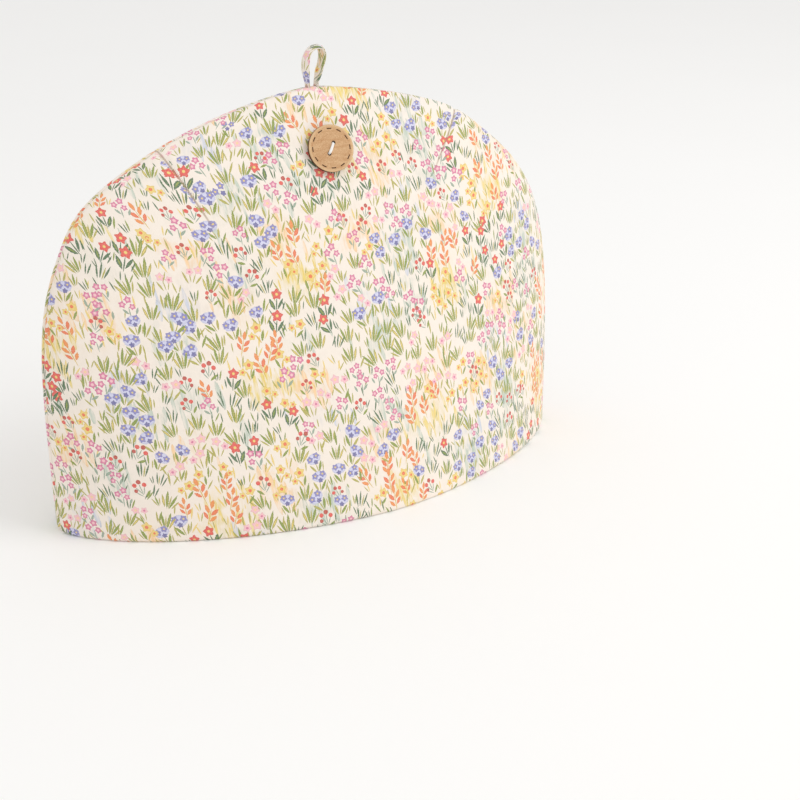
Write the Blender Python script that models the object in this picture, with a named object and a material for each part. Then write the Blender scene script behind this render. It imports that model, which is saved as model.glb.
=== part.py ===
"""Padded cotton tea cosy: two darted dome panels, a hanging loop and a wooden button.

Metres, +Z up. The seam that joins the two panels lies in the plane y = 0, the front
faces -Y, and the hem stands on z = 0.
"""

import math

import bpy
import numpy as np
from mathutils import Matrix, Vector

# Driving dimensions of the cosy
HALF_WIDTH = 0.160
HEIGHT = 0.2180
HALF_DEPTH = 0.0797
WALL = 0.0055
CLEARANCE = 0.0003

# Powers that give the dome its outline and its crown
SIDE_BULGE = 0.0166
OUTLINE_UP = 5.5
OUTLINE_ACROSS = 1.335
CROWN_UP = 1.1
CROWN_OVER = 1.306
SECTION_ACROSS = 1.73
SECTION_OVER = 0.63

# The fuller shoulder beside each dart: side, share of the width, share of the height, reach
SHOULDERS = (
    {"side": -1, "fuller": 0.027, "at": 0.777, "reach": 0.075},
    {"side": 1, "fuller": 0.150, "at": 0.952, "reach": 0.075},
)
SHOULDER_CORNER = 0.86

# Each dart runs from the seam (x, z) to its tip (x, z) in the middle of the panel
DARTS = (
    {"seam": (-0.0907, 0.1892), "tip": (-0.0740, 0.1535)},
    {"seam": (0.0934, 0.1966), "tip": (0.0631, 0.1667)},
)
DART_DEPTH = 0.05
DART_REACH = 0.008

# Soft hollows and swellings of the padding: place (x, z), reach, share of the depth
PADDING = (
    {"at": (-0.100, 0.060), "reach": 0.050, "share": 0.018},
    {"at": (0.080, 0.045), "reach": 0.060, "share": -0.012},
    {"at": (0.010, 0.110), "reach": 0.055, "share": 0.012},
    {"at": (0.110, 0.130), "reach": 0.045, "share": 0.015},
    {"at": (-0.040, 0.020), "reach": 0.045, "share": -0.010},
)

CELLS_ACROSS = 36
CELLS_UP = 24
EDGE_CROWDING = 0.93

# Hanging loop: a strip folded double, both ends in the seam
LOOP_RISE = 0.0200
LOOP_LEAN = 0.0030
LOOP_FOOT = 0.0026
LOOP_SPREAD = 0.0056
LOOP_STRIP_WIDTH = 0.0072
LOOP_FOOT_WIDTH = 0.0044
LOOP_THICK = 0.0015
LOOP_STEPS = 36

# Button on the front, under the loop
BUTTON_RADIUS = 0.0125
BUTTON_THICK = 0.0025
BUTTON_BEVEL = 0.0008
BUTTON_ACROSS = -0.0028
BUTTON_HEIGHT = 0.1863
BUTTON_TURN = math.radians(-11.0)
BUTTON_RISE = math.radians(20.0)
BUTTON_STAND_OFF = 0.0034
HOLE_RADIUS = 0.0011
HOLE_SPACING = 0.0062
HOLE_LINE = math.radians(70.0)

THREAD_RADIUS = 0.0008
THREAD_ARCH = 0.0008


def outline_half_width(share, side, inset):
    """Half width of the seam outline at a share of the height, for the side +1 or -1."""
    width = (HALF_WIDTH - inset) * (1 + SIDE_BULGE * 4 * share * (1 - share))
    width = width * np.clip(1 - share**OUTLINE_UP, 0, 1) ** (1 / OUTLINE_ACROSS)
    for row in SHOULDERS:
        swell = row["fuller"] * np.exp(-(((share - row["at"]) / row["reach"]) ** 2))
        width = width * np.where(side == row["side"], 1 + swell, 1.0)
    return width


def crown_depth(share, inset):
    """Distance from the seam plane to the middle of a panel at a share of the height."""
    rise = np.clip(1 - share**CROWN_UP, 0, 1)
    return (HALF_DEPTH - inset) * rise ** (1 / CROWN_OVER)


def plan(across, up, inset):
    """Places (x, z) inside the outline for across and up, each from 0 to 1.

    A Coons patch: the hem, the two sides up to the shoulders and the top between the
    shoulders are its four edges, blended into each other.
    """
    height = HEIGHT - inset

    def side_edge(v, side):
        share = SHOULDER_CORNER * v
        return side * outline_half_width(share, side, inset), share * height

    def top_edge(r):
        side = np.where(r < 0.5, -1, 1)
        share = 1 - (1 - SHOULDER_CORNER) * np.abs(2 * r - 1) ** OUTLINE_ACROSS
        return side * outline_half_width(share, side, inset), share * height

    left = side_edge(up, -1)
    right = side_edge(up, 1)
    top = top_edge(across)
    hem = ((HALF_WIDTH - inset) * (2 * across - 1), np.zeros_like(across))
    blended = []
    for axis in range(2):
        hem_left, hem_right = side_edge(0.0, -1)[axis], side_edge(0.0, 1)[axis]
        top_left, top_right = side_edge(1.0, -1)[axis], side_edge(1.0, 1)[axis]
        corners = (1 - up) * ((1 - across) * hem_left + across * hem_right)
        corners = corners + up * ((1 - across) * top_left + across * top_right)
        edges = (1 - up) * hem[axis] + up * top[axis]
        edges = edges + (1 - across) * left[axis] + across * right[axis]
        blended.append(edges - corners)
    return blended


def dart_share(x, z):
    """How far the darts pull the panel in at (x, z), as a share of its depth."""
    pull = np.zeros_like(x)
    for dart in DARTS:
        start, tip = np.array(dart["seam"]), np.array(dart["tip"])
        run = tip - start
        along = ((x - start[0]) * run[0] + (z - start[1]) * run[1]) / (run @ run)
        held = np.clip(along, 0, 1)
        away = np.hypot(x - start[0] - held * run[0], z - start[1] - held * run[1])
        pull = pull + DART_DEPTH * (1 - held) * np.exp(-((away / DART_REACH) ** 2))
    return pull


def skin(across, up, inset):
    """Depth behind or before the seam plane, with x and z, of one face of a panel."""
    x, z = plan(across, up, inset)
    share = z / (HEIGHT - inset)
    side = np.where(x < 0, -1, 1)
    reach = np.clip(np.abs(x) / np.maximum(outline_half_width(share, side, inset), 1e-9), 0, 1)
    depth = crown_depth(share, inset) * (1 - reach**SECTION_ACROSS) ** SECTION_OVER
    swell = 1 - dart_share(x, z)
    for soft in PADDING:
        away = np.hypot(x - soft["at"][0], z - soft["at"][1])
        swell = swell + soft["share"] * np.exp(-((away / soft["reach"]) ** 2))
    return x, depth * swell, z


def add_mesh(name, points, faces):
    mesh = bpy.data.meshes.new(name)
    mesh.from_pydata(points.tolist(), [], faces.tolist())
    mesh.update()
    piece = bpy.data.objects.new(name, mesh)
    bpy.context.collection.objects.link(piece)
    return piece


def closed_wall(outer, inner):
    """Points and quads of a closed solid between two grids of rows x columns points."""
    rows, columns = outer.shape[:2]
    number = np.arange(rows * columns).reshape(rows, columns)
    cell = np.stack(
        [number[:-1, :-1], number[:-1, 1:], number[1:, 1:], number[1:, :-1]], axis=-1
    ).reshape(-1, 4)
    rim = np.concatenate([number[0, :-1], number[:-1, -1], number[-1, :0:-1], number[:0:-1, 0]])
    after = np.roll(rim, -1)
    under = rows * columns
    walls = np.stack([after, rim, rim + under, after + under], axis=-1)
    faces = np.concatenate([cell, cell[:, ::-1] + under, walls])
    return np.concatenate([outer.reshape(-1, 3), inner.reshape(-1, 3)]), faces


def make_panel(name, side):
    """One padded panel. side is -1 for the front and +1 for the back."""
    turn = np.linspace(-1, 1, CELLS_ACROSS + 1) * math.pi / 2 * EDGE_CROWDING
    across = 0.5 + 0.5 * np.sin(turn) / math.sin(math.pi / 2 * EDGE_CROWDING)
    up = np.linspace(0, 1, CELLS_UP + 1)
    across, up = np.meshgrid(across, up)
    skins = []
    for inset in (0.0, WALL):
        x, y, z = skin(across, up, inset)
        skins.append(np.stack([x, side * (y + CLEARANCE / 2), z], axis=-1))
    if side > 0:
        skins = [grid[:, ::-1] for grid in skins]
    return add_mesh(name, *closed_wall(*skins))


def roof_height(y):
    """Height of the cosy's top at a distance y from the seam plane, near x = 0."""
    return HEIGHT * (1 - (np.abs(y) / HALF_DEPTH) ** CROWN_OVER) ** (1 / CROWN_UP)


def loop_line(share):
    """Middle line (x, z) of the loop: narrow feet, widest above the middle, round top.

    share runs from -1 at the left foot, through 0 at the top, to 1 at the right foot.
    """
    rise = np.cos(share * math.pi / 2) ** 0.9
    half = (LOOP_FOOT + LOOP_SPREAD * rise) * np.sqrt(np.clip(1 - rise**3, 0, 1))
    x = np.sign(share) * half + LOOP_LEAN * rise**1.5
    return x, HEIGHT + (LOOP_RISE - LOOP_THICK / 2) * rise


def make_loop(name):
    """A strip carried along the loop's line, with feet shaped to the roof of the cosy."""
    share = np.linspace(-1, 1, LOOP_STEPS + 1)
    x, z = loop_line(share)
    dx, dz = np.gradient(x), np.gradient(z)
    length = np.hypot(dx, dz)
    across = np.stack([-dz / length, dx / length], axis=-1)
    widen = np.clip((z - HEIGHT) / (0.35 * LOOP_RISE), 0, 1)
    widen = widen * widen * (3 - 2 * widen)
    half = (LOOP_FOOT_WIDTH + (LOOP_STRIP_WIDTH - LOOP_FOOT_WIDTH) * widen) / 2
    skins = []
    for turn in (-1, 1):
        y = np.linspace(-1, 1, 5)[None, :] * half[:, None]
        line_x = x + turn * across[:, 0] * LOOP_THICK / 2
        line_z = z + turn * across[:, 1] * LOOP_THICK / 2
        grid_x = np.repeat(line_x[:, None], 5, axis=1)
        grid_z = np.repeat(line_z[:, None], 5, axis=1)
        for foot in (0, -1):
            grid_z[foot] = roof_height(y[foot]) + 2 * CLEARANCE
        skins.append(np.stack([grid_x, y, grid_z], axis=-1))
    return add_mesh(name, *closed_wall(*skins))


def button_frame():
    """World placing of the button: local +Z looks out of its face."""
    flat = math.cos(BUTTON_RISE)
    out = Vector(
        (math.sin(BUTTON_TURN) * flat, -math.cos(BUTTON_TURN) * flat, math.sin(BUTTON_RISE))
    )
    right = Vector((0, 0, 1)).cross(out).normalized()
    turn = Matrix((right, out.cross(right), out)).transposed().to_4x4()
    depth = float(crown_depth(BUTTON_HEIGHT / HEIGHT, 0.0))
    seat = Vector((BUTTON_ACROSS, -depth, BUTTON_HEIGHT)) + out * BUTTON_STAND_OFF
    return Matrix.Translation(seat) @ turn


def hole_offsets():
    """The two hole centres in the button's own plane."""
    line = Vector((math.cos(HOLE_LINE), math.sin(HOLE_LINE), 0)) * HOLE_SPACING / 2
    return line, -line


def make_button(name):
    """A turned disc with a bevelled rim and two drilled holes, its back at local z = 0."""
    bpy.ops.mesh.primitive_cylinder_add(vertices=48, radius=BUTTON_RADIUS, depth=BUTTON_THICK)
    disc = bpy.context.object
    disc.name = name
    disc.data.transform(Matrix.Translation((0, 0, BUTTON_THICK / 2)))
    disc.matrix_world = button_frame()
    rim = disc.modifiers.new("rim", "BEVEL")
    rim.width = BUTTON_BEVEL
    rim.segments = 2
    for number, centre in enumerate(hole_offsets()):
        bpy.ops.mesh.primitive_cylinder_add(
            vertices=16, radius=HOLE_RADIUS, depth=4 * BUTTON_THICK
        )
        drill = bpy.context.object
        drill.name = f"drill_{number}"
        drill.data.transform(Matrix.Translation(centre))
        drill.matrix_world = button_frame()
        drill.hide_render = True
        drill.display_type = "WIRE"
        cut = disc.modifiers.new("hole", "BOOLEAN")
        cut.operation = "DIFFERENCE"
        cut.object = drill
    disc.data.shade_smooth()
    return disc


def make_thread(name):
    """One thick stitch: up through a hole, over the face and down through the other."""
    line = hole_offsets()[0].normalized()
    half = HOLE_SPACING / 2
    top = BUTTON_THICK + THREAD_RADIUS + THREAD_ARCH
    path = [(-half, 0.0004), (-half, 0.6 * BUTTON_THICK)]
    for step in range(9):
        angle = math.pi * (1 - step / 8)
        path.append((half * math.cos(angle), BUTTON_THICK + (top - BUTTON_THICK) * math.sin(angle)))
    path += [(half, 0.6 * BUTTON_THICK), (half, 0.0004)]
    curve = bpy.data.curves.new(name, "CURVE")
    curve.dimensions = "3D"
    curve.bevel_depth = THREAD_RADIUS
    curve.bevel_resolution = 2
    curve.use_fill_caps = True
    spline = curve.splines.new("POLY")
    spline.points.add(len(path) - 1)
    for point, (along, height) in zip(spline.points, path):
        point.co = (line.x * along, line.y * along, height, 1)
    thread = bpy.data.objects.new(name, curve)
    bpy.context.collection.objects.link(thread)
    thread.matrix_world = button_frame()
    return thread


def finish(piece, material_name, colour, roughness):
    material = bpy.data.materials.new(material_name)
    material.use_nodes = True
    shader = material.node_tree.nodes["Principled BSDF"]
    shader.inputs["Base Color"].default_value = (*colour, 1)
    shader.inputs["Roughness"].default_value = roughness
    shader.inputs["Metallic"].default_value = 0.0
    piece.data.materials.append(material)


for old in list(bpy.data.objects):
    bpy.data.objects.remove(old)

cosy = bpy.data.objects.new("cosy", None)
bpy.context.collection.objects.link(cosy)
pieces = (
    (make_panel("front_panel", -1), "front_cotton", (0.86, 0.77, 0.70), 0.9),
    (make_panel("back_panel", 1), "back_cotton", (0.86, 0.77, 0.70), 0.9),
    (make_loop("hanging_loop"), "loop_cotton", (0.84, 0.74, 0.66), 0.9),
    (make_button("button"), "button_wood", (0.56, 0.34, 0.18), 0.7),
    (make_thread("button_thread"), "white_thread", (0.88, 0.87, 0.84), 0.8),
)
for piece, material_name, colour, roughness in pieces:
    finish(piece, material_name, colour, roughness)
    piece.parent = cosy
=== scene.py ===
import math

import bmesh
import bpy
import numpy as np
from mathutils import Matrix, Vector


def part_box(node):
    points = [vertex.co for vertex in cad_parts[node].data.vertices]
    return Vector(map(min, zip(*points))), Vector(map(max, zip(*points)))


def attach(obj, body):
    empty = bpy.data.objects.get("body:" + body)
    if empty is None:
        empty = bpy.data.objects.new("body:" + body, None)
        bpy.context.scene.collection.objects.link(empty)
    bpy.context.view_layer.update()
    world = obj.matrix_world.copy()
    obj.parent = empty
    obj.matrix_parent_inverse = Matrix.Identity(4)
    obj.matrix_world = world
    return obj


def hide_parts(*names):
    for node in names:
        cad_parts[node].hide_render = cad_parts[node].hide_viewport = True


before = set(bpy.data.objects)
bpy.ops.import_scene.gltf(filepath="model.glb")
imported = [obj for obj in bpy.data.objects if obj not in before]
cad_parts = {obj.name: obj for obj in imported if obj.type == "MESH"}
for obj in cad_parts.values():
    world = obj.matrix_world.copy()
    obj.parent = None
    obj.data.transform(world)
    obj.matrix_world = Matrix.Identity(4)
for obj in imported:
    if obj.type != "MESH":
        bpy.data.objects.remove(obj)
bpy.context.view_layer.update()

# --- Camera ------------------------------------------------------------------
# A short telephoto lens to the left of the front and a little above it. It aims to the right
# of the cosy and below its middle, so the cosy stands in the upper left of the frame.
panel_low, panel_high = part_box("front_panel")
HEIGHT = panel_high.z
VIEW_AZIMUTH = math.radians(-31.3)
VIEW_ELEVATION = math.radians(16.39)
VIEW_DISTANCE = 0.870
AIM_RIGHT = 0.0457
AIM_DOWN = 0.0664
LENS_MM = 70.45

middle = Vector((0, 0, HEIGHT / 2))
away = Vector(
    (
        math.sin(VIEW_AZIMUTH) * math.cos(VIEW_ELEVATION),
        -math.cos(VIEW_AZIMUTH) * math.cos(VIEW_ELEVATION),
        math.sin(VIEW_ELEVATION),
    )
)
view_right = (-away).cross(Vector((0, 0, 1))).normalized()
view_up = view_right.cross(-away)
eye = middle + away * VIEW_DISTANCE
aim = middle + view_right * AIM_RIGHT - view_up * AIM_DOWN
camera = bpy.data.objects.new("camera", bpy.data.cameras.new("camera"))
camera.data.lens = LENS_MM
camera.data.clip_start = 0.01
camera.location = eye
camera.rotation_euler = (aim - eye).to_track_quat("-Z", "Y").to_euler()
bpy.context.scene.collection.objects.link(camera)
bpy.context.scene.camera = camera


# --- Floor and light ---------------------------------------------------------
# A white painted table top under a bright, even studio sky, with one large soft lamp from the
# front right that makes that side a little lighter.
FLOOR_WHITE = "#fbfaf8"
FLOOR_HALF = 8.0
SKY_STRENGTH = 0.86
LAMP_PLACE = (1.1, -1.3, 1.5)
LAMP_SIZE = 1.4
LAMP_WATTS = 14.0


def linear(hex_colour):
    """A scene-linear RGBA colour from an sRGB hex value."""
    parts = [int(hex_colour[i : i + 2], 16) / 255 for i in (1, 3, 5)]
    return (*[c / 12.92 if c <= 0.04045 else ((c + 0.055) / 1.055) ** 2.4 for c in parts], 1.0)


def add(tree, kind, inputs=(), **settings):
    """Adds a shader node. inputs gives each named or numbered input a value, node or output."""
    node = tree.nodes.new("ShaderNode" + kind)
    for name, value in settings.items():
        setattr(node, name, value)
    for key, value in dict(inputs).items():
        if isinstance(value, bpy.types.Node):
            value = value.outputs[0]
        if isinstance(value, bpy.types.NodeSocket):
            tree.links.new(value, node.inputs[key])
        else:
            node.inputs[key].default_value = value
    return node


def new_material(name):
    """An empty node material, with its shader and its node tree."""
    material = bpy.data.materials.new(name)
    material.use_nodes = True
    shader = material.node_tree.nodes["Principled BSDF"]
    return material, shader, material.node_tree


def new_object(name, points, faces, smooth=True):
    """A mesh object from an array of points and a list of faces."""
    mesh = bpy.data.meshes.new(name)
    mesh.from_pydata(points, [], faces)
    mesh.update()
    if smooth:
        mesh.shade_smooth()
    piece = bpy.data.objects.new(name, mesh)
    bpy.context.scene.collection.objects.link(piece)
    return piece


# Matt white paint: even, with a very faint mottle from the roller.
floor_paint, shader, tree = new_material("white_painted_table")
place = add(tree, "TexCoord")
mottle = add(tree, "TexNoise", {"Vector": place.outputs["Object"], "Scale": 3.0})
tone = add(tree, "MapRange", {"Value": mottle, "To Min": 0.985, "To Max": 1.0})
white = add(tree, "VectorMath", {0: linear(FLOOR_WHITE)[:3], "Scale": tone}, operation="SCALE")
tree.links.new(white.outputs[0], shader.inputs["Base Color"])
shader.inputs["Roughness"].default_value = 0.85
corner = FLOOR_HALF * np.array([[-1, -1, 0], [1, -1, 0], [1, 1, 0], [-1, 1, 0]])
floor = new_object("floor", corner, [(0, 1, 2, 3)], smooth=False)
floor.data.materials.append(floor_paint)

sky = bpy.data.worlds.new("studio_sky")
bpy.context.scene.world = sky
sky.use_nodes = True
sky.node_tree.nodes["Background"].inputs["Color"].default_value = (1, 1, 1, 1)
sky.node_tree.nodes["Background"].inputs["Strength"].default_value = SKY_STRENGTH
bpy.context.scene.view_settings.view_transform = "Standard"

lamp = bpy.data.objects.new("soft_lamp", bpy.data.lights.new("soft_lamp", "AREA"))
lamp.data.energy = LAMP_WATTS
lamp.data.size = LAMP_SIZE
lamp.location = LAMP_PLACE
lamp.rotation_euler = (middle - lamp.location).to_track_quat("-Z", "Y").to_euler()
bpy.context.scene.collection.objects.link(lamp)


# --- Front and back panels ---------------------------------------------------
# Each is one dome of printed plain-weave cotton quilted to soft padding, with a dart at each
# shoulder and its hem turned under. The two are sewn together, right sides in, along the
# dome's outline and turned, so the seam lies in a shallow valley.
WALL = 0.0055
HALF_GAP = -panel_high.y
HALF_WIDTH = 0.160
HALF_DEPTH = 0.0797
SIDE_BULGE = 0.0166
OUTLINE_UP, OUTLINE_ACROSS = 5.5, 1.335
CROWN_UP, CROWN_OVER = 1.1, 1.306
SECTION_ACROSS, SECTION_OVER = 1.73, 0.63
SHOULDER_CORNER = 0.86
SHOULDERS = (
    {"side": -1, "fuller": 0.027, "at": 0.777, "reach": 0.075},
    {"side": 1, "fuller": 0.150, "at": 0.952, "reach": 0.075},
)
DARTS = (
    {"seam": (-0.0907, 0.1892), "tip": (-0.0740, 0.1535), "taken_in": 9.0},
    {"seam": (0.0934, 0.1966), "tip": (0.0631, 0.1667), "taken_in": -9.0},
)
PADDING = (
    {"at": (-0.100, 0.060), "reach": 0.050, "share": 0.018},
    {"at": (0.080, 0.045), "reach": 0.060, "share": -0.012},
    {"at": (0.010, 0.110), "reach": 0.055, "share": 0.012},
    {"at": (0.110, 0.130), "reach": 0.045, "share": 0.015},
    {"at": (-0.040, 0.020), "reach": 0.045, "share": -0.010},
)
HEM_ROUND = 0.0023
SEAM_VALLEY = 0.24
SEAM_VALLEY_REACH = 0.0012
DART_VALLEY = 0.20
DART_VALLEY_REACH = 0.0016
DART_PUFF = 0.10
DART_PUFF_REACH = 0.006
BUTTON_DIMPLE = 0.25
BUTTON_DIMPLE_REACH = 0.009
CELLS_ACROSS, CELLS_UP = 330, 204
EDGE_CROWDING = 0.93
HEM_STEPS = 7
DART_TAKE_REACH = 0.045
UNEVENNESS = 0.07
SETTLED_DEPTH = 0.010


def outline_half_width(share, side, inset):
    """Half width of the outline: A (1 + bulge 4t(1-t)) (1 - t^p)^(1/q), fuller at the darts."""
    width = (HALF_WIDTH - inset) * (1 + SIDE_BULGE * 4 * share * (1 - share))
    width = width * np.clip(1 - share**OUTLINE_UP, 0, 1) ** (1 / OUTLINE_ACROSS)
    for row in SHOULDERS:
        swell = row["fuller"] * np.exp(-(((share - row["at"]) / row["reach"]) ** 2))
        width = width * np.where(side == row["side"], 1 + swell, 1.0)
    return width


def plan(across, up, inset):
    """Places (x, z) inside the outline: a Coons patch of the hem, both sides and the top."""
    height = HEIGHT - inset

    def side_edge(v, side):
        share = SHOULDER_CORNER * v
        return side * outline_half_width(share, side, inset), share * height

    def top_edge(r):
        side = np.where(r < 0.5, -1, 1)
        share = 1 - (1 - SHOULDER_CORNER) * np.abs(2 * r - 1) ** OUTLINE_ACROSS
        return side * outline_half_width(share, side, inset), share * height

    left, right, top = side_edge(up, -1), side_edge(up, 1), top_edge(across)
    hem = ((HALF_WIDTH - inset) * (2 * across - 1), np.zeros_like(across))
    blended = []
    for axis in range(2):
        hem_left, hem_right = side_edge(0.0, -1)[axis], side_edge(0.0, 1)[axis]
        top_left, top_right = side_edge(1.0, -1)[axis], side_edge(1.0, 1)[axis]
        corners = (1 - up) * ((1 - across) * hem_left + across * hem_right)
        corners = corners + up * ((1 - across) * top_left + across * top_right)
        edges = (1 - up) * hem[axis] + up * top[axis]
        blended.append(edges + (1 - across) * left[axis] + across * right[axis] - corners)
    return blended


def dart_place(x, z, dart):
    """Signed distance from a dart's line, and the share of the way from the seam to its tip."""
    start, tip = np.array(dart["seam"]), np.array(dart["tip"])
    run = tip - start
    along = ((x - start[0]) * run[0] + (z - start[1]) * run[1]) / (run @ run)
    away = ((x - start[0]) * run[1] - (z - start[1]) * run[0]) / math.hypot(*run)
    return away, along


def skin(across, up, inset):
    """One face of a panel: depth = D(z) (1 - |x/a(z)|^p)^q, swelled a little by the padding."""
    x, z = plan(across, up, inset)
    share = z / (HEIGHT - inset)
    side = np.where(x < 0, -1, 1)
    reach = np.clip(np.abs(x) / np.maximum(outline_half_width(share, side, inset), 1e-9), 0, 1)
    rise = np.clip(1 - share**CROWN_UP, 0, 1) ** (1 / CROWN_OVER)
    depth = (HALF_DEPTH - inset) * rise * (1 - reach**SECTION_ACROSS) ** SECTION_OVER
    swell = np.ones_like(x)
    for soft in PADDING:
        spread = np.hypot(x - soft["at"][0], z - soft["at"][1])
        swell = swell + soft["share"] * np.exp(-((spread / soft["reach"]) ** 2))
    return np.stack([x, depth * swell, z], axis=-1)


def wall_pull(outer, button_at):
    """Share of the wall by which the outer face is drawn in: valleys at the seam and darts,
    a little puff beside each dart, a dimple under the button and slow unevenness."""
    x, depth, z = outer[..., 0], outer[..., 1], outer[..., 2]
    pull = SEAM_VALLEY * np.exp(-depth / SEAM_VALLEY_REACH)
    inside = np.clip(depth / SETTLED_DEPTH, 0, 1)
    for dart in DARTS:
        away, along = dart_place(x, z, dart)
        left = np.clip(1 - along, 0, 1) ** 0.6 * np.clip(1 + 8 * along, 0, 1)
        beside = np.abs(away) - DART_PUFF_REACH
        pull = pull + DART_VALLEY * left * np.exp(-((away / DART_VALLEY_REACH) ** 2))
        pull = pull - DART_PUFF * left * inside * np.exp(-((beside / DART_PUFF_REACH) ** 2))
    slow = np.sin(41 * x + 2.0 * np.sin(23 * z)) * np.sin(37 * z + 1.1 + 9 * x)
    pull = pull + UNEVENNESS * inside * slow
    if button_at is not None:
        spread = np.hypot(x - button_at[0], z - button_at[1])
        pull = pull + BUTTON_DIMPLE * np.exp(-((spread / BUTTON_DIMPLE_REACH) ** 2))
    return pull


def panel_grids(button_at):
    """Outer and inner faces of a panel, rows x columns x 3, with depth as a positive y.

    The lowest rows of both faces curve towards each other on a quarter circle, so the hem's
    fold is round.
    """
    turn = np.linspace(-1, 1, CELLS_ACROSS + 1) * math.pi / 2 * EDGE_CROWDING
    across = 0.5 + 0.5 * np.sin(turn) / math.sin(math.pi / 2 * EDGE_CROWDING)
    quarter = np.linspace(0, math.pi / 2, HEM_STEPS)
    hem_rows = HEM_ROUND / HEIGHT * (1 - np.cos(quarter[1:-1]))
    rest = np.linspace(HEM_ROUND / HEIGHT, 1, CELLS_UP - len(hem_rows))
    up = np.concatenate([[0.0], hem_rows, rest])
    across, up = np.meshgrid(across, up)
    outer, inner = skin(across, up, 0.0), skin(across, up, WALL)
    through = inner - outer
    lift = np.clip(1 - outer[..., 2] / HEM_ROUND, 0, 1)
    fold = HEM_ROUND / WALL * (1 - np.sqrt(1 - lift**2))
    pull = wall_pull(outer, button_at) * (1 - lift)
    base = outer.copy()
    outer = outer + through * (pull + fold)[..., None]
    inner = inner - through * fold[..., None]
    return base, outer, inner


def flat_cut(base):
    """Flat-cut places in millimetres: length along each row from the middle column, and
    length up each column from the hem. Past a dart the cloth is taken in by its fold."""
    rows, columns = base.shape[:2]
    step = np.linalg.norm(np.diff(base, axis=1), axis=-1)
    run = np.concatenate([np.zeros((rows, 1)), np.cumsum(step, axis=1)], axis=1)
    flat_u = run - run[:, columns // 2][:, None]
    rise = np.linalg.norm(np.diff(base, axis=0), axis=-1)
    flat_v = np.concatenate([np.zeros((1, columns)), np.cumsum(rise, axis=0)], axis=0)
    flat_u, flat_v = 1000 * flat_u, 1000 * flat_v
    for dart in DARTS:
        away, along = dart_place(base[..., 0], base[..., 2], dart)
        beyond = np.where(np.sign(away) == np.sign(dart["taken_in"]), 1.0, 0.0)
        near = np.exp(-((away / DART_TAKE_REACH) ** 2))
        flat_u = flat_u + dart["taken_in"] * beyond * near * np.clip(1 - along, 0, 1)
    return np.stack([flat_u, flat_v], axis=-1)


def grid_faces(rows, columns, first=0):
    """Quads of a grid of points, numbered row by row from first."""
    number = first + np.arange(rows * columns).reshape(rows, columns)
    cells = [number[:-1, :-1], number[:-1, 1:], number[1:, 1:], number[1:, :-1]]
    return np.stack(cells, axis=-1).reshape(-1, 4)


def panel_mesh(name, side, outer, inner, flat):
    """A closed panel: the fine outer face, an inner face of every second point, and a rim.

    Each rim face joins two steps of the outer edge to one step of the inner edge.
    """
    inner = inner[::2, ::2]
    if side > 0:
        outer, inner, flat = outer[:, ::-1], inner[:, ::-1], flat[:, ::-1]
    rows, columns = outer.shape[:2]
    fine = np.arange(rows * columns).reshape(rows, columns)
    coarse = rows * columns + np.arange(inner[..., 0].size).reshape(inner.shape[:2])

    def edge(number):
        parts = [number[0, :-1], number[:-1, -1], number[-1, :0:-1], number[:0:-1, 0]]
        return np.concatenate(parts)

    fine_edge, coarse_edge = edge(fine), edge(coarse)
    ahead, coarse_ahead = np.roll(fine_edge, -2)[::2], np.roll(coarse_edge, -1)
    rim = np.stack([ahead, fine_edge[1::2], fine_edge[::2], coarse_edge, coarse_ahead], axis=-1)
    outside = grid_faces(rows, columns)
    inside = grid_faces(*inner.shape[:2], first=rows * columns)[:, ::-1]
    points = np.concatenate([outer.reshape(-1, 3), inner.reshape(-1, 3)])
    points = points * [1, side, 1] + [0, side * HALF_GAP, 0]
    piece = new_object(name, points, outside.tolist() + inside.tolist() + rim.tolist())
    kinds = np.zeros(len(piece.data.polygons), np.int32)
    kinds[len(outside) :] = 1
    piece.data.polygons.foreach_set("material_index", kinds)
    all_flat = np.zeros((len(points), 2))
    all_flat[: rows * columns] = flat.reshape(-1, 2)
    corner_point = np.zeros(len(piece.data.loops), np.int32)
    piece.data.loops.foreach_get("vertex_index", corner_point)
    layer = piece.data.uv_layers.new(name="flat_cut")
    layer.uv.foreach_set("vector", all_flat[corner_point].astype(np.float32).ravel())
    return piece, outside, all_flat


# Printing inks by name. The last ones are thinned, and are dragged on with a dry brush.
INKS = {
    "coral red": "#e0584f",
    "brick": "#bd4f43",
    "coral": "#e9784f",
    "orange": "#ec9150",
    "rose": "#d97ba0",
    "pale pink": "#f4c0c6",
    "periwinkle": "#8987bf",
    "lavender": "#cfd0ea",
    "deep blue": "#6f6fa3",
    "olive": "#b2ab52",
    "leaf": "#86983f",
    "bottle": "#4a6e4c",
    "sage": "#95a896",
    "straw": "#eccf78",
    "mustard": "#d8b548",
    "peach": "#f6cfa0",
    "thin sage": "#c3cdbf",
    "thin mustard": "#ead27c",
    "thin peach": "#f6cf9f",
    "thin blue": "#cbd0dc",
}
INK_NUMBER = {name: number for number, name in enumerate(INKS)}
FIRST_THIN = INK_NUMBER["thin sage"]
COTTON = "#f5eade"
DART_CREASE_SHADE = "#a08468"
# Brown of the dart line: partly sewing thread, partly painted shade in the dart's crease.
LENS, OVAL = -1, 0
# Strokes that one face of the mesh can hold.
SLOTS = 6

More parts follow.
